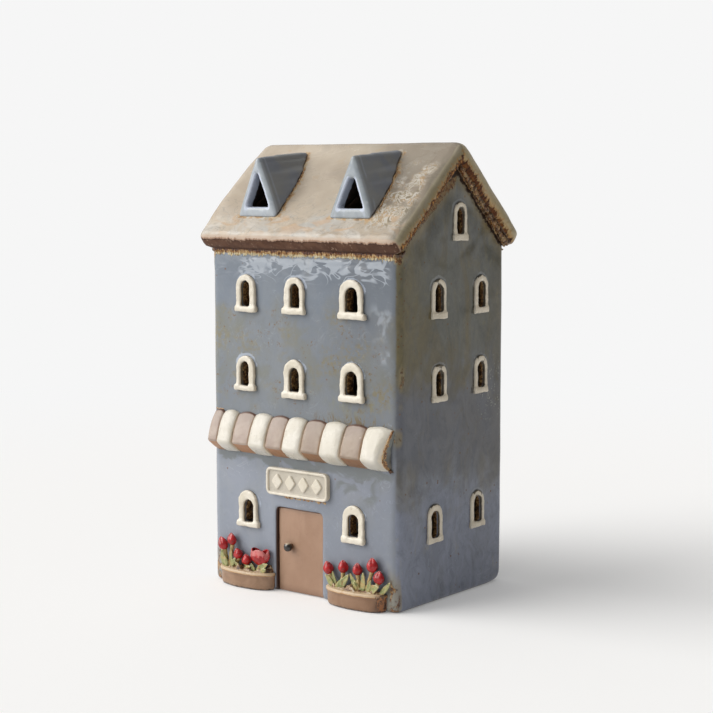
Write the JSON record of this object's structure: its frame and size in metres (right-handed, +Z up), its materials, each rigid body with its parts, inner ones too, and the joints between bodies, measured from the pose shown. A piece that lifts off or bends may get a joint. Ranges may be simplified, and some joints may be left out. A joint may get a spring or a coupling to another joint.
{
  "type": "tealight house",
  "caption": "Hollow glazed clay town house with a shop front, awning and dormers. A tealight stands on its floor, goes in through an arch in the back and shines out of the windows.",
  "frame": {"origin": "centre of the house's footprint, on the flat underside of the base slab, where the house stands", "axes": "+Z up, -Y out of the shop front, +X to the right of a viewer who faces the shop front"},
  "size_m": [0.112, 0.0922, 0.2],
  "materials": {
    "blue_glaze": "gloss",
    "roof_glaze": "gloss",
    "cream_glaze": "gloss",
    "mauve_glaze": "gloss",
    "door_stain": "satin",
    "pot_stain": "satin",
    "red_glaze": "gloss",
    "green_glaze": "gloss",
    "black_glaze": "gloss",
    "cup_foil": "bright",
    "wax": "satin",
    "wick": "matte"
  },
  "bodies": {
    "house": {"base_slab": "blue_glaze", "front_wall": "blue_glaze", "back_wall": "blue_glaze", "left_gable_wall": "blue_glaze", "right_gable_wall": "blue_glaze", "roof": "roof_glaze", "dormer_left": "blue_glaze", "dormer_right": "blue_glaze", "surround_front_top_left": "cream_glaze", "surround_front_top_middle": "cream_glaze", "surround_front_top_right": "cream_glaze", "surround_front_middle_left": "cream_glaze", "surround_front_middle_middle": "cream_glaze", "surround_front_middle_right": "cream_glaze", "surround_front_low_left": "cream_glaze", "surround_front_low_right": "cream_glaze", "surround_right_gable": "cream_glaze", "surround_right_top_front": "cream_glaze", "surround_right_top_back": "cream_glaze", "surround_right_middle_front": "cream_glaze", "surround_right_middle_back": "cream_glaze", "surround_right_low_front": "cream_glaze", "surround_right_low_back": "cream_glaze", "surround_left_gable": "cream_glaze", "surround_left_top_front": "cream_glaze", "surround_left_top_back": "cream_glaze", "surround_left_middle_front": "cream_glaze", "surround_left_middle_back": "cream_glaze", "surround_left_low_front": "cream_glaze", "surround_left_low_back": "cream_glaze", "awning_stripe_01": "mauve_glaze", "awning_stripe_02": "cream_glaze", "awning_stripe_03": "mauve_glaze", "awning_stripe_04": "cream_glaze", "awning_stripe_05": "mauve_glaze", "awning_stripe_06": "cream_glaze", "awning_stripe_07": "mauve_glaze", "awning_stripe_08": "cream_glaze", "awning_stripe_09": "mauve_glaze", "awning_stripe_10": "cream_glaze", "sign_plaque": "cream_glaze", "front_door": "door_stain", "door_knob": "black_glaze", "planter_left": "pot_stain", "planter_right": "pot_stain", "foliage_left": "green_glaze", "foliage_right": "green_glaze", "tulip_left_1": "red_glaze", "tulip_left_2": "red_glaze", "tulip_left_3": "red_glaze", "tulip_left_4": "red_glaze", "tulip_left_5": "red_glaze", "tulip_right_1": "red_glaze", "tulip_right_2": "red_glaze", "tulip_right_3": "red_glaze", "tulip_right_4": "red_glaze", "tulip_right_5": "red_glaze"},
    "tealight": {"tealight_cup": "cup_foil", "tealight_wax": "wax", "tealight_wick": "wick"}
  },
  "joints": [
    {"name": "tealight_slide", "type": "slide", "parent": "house", "child": "tealight", "axis": [0, 1, 0], "range_m": [0, 0.085]}
  ]
}
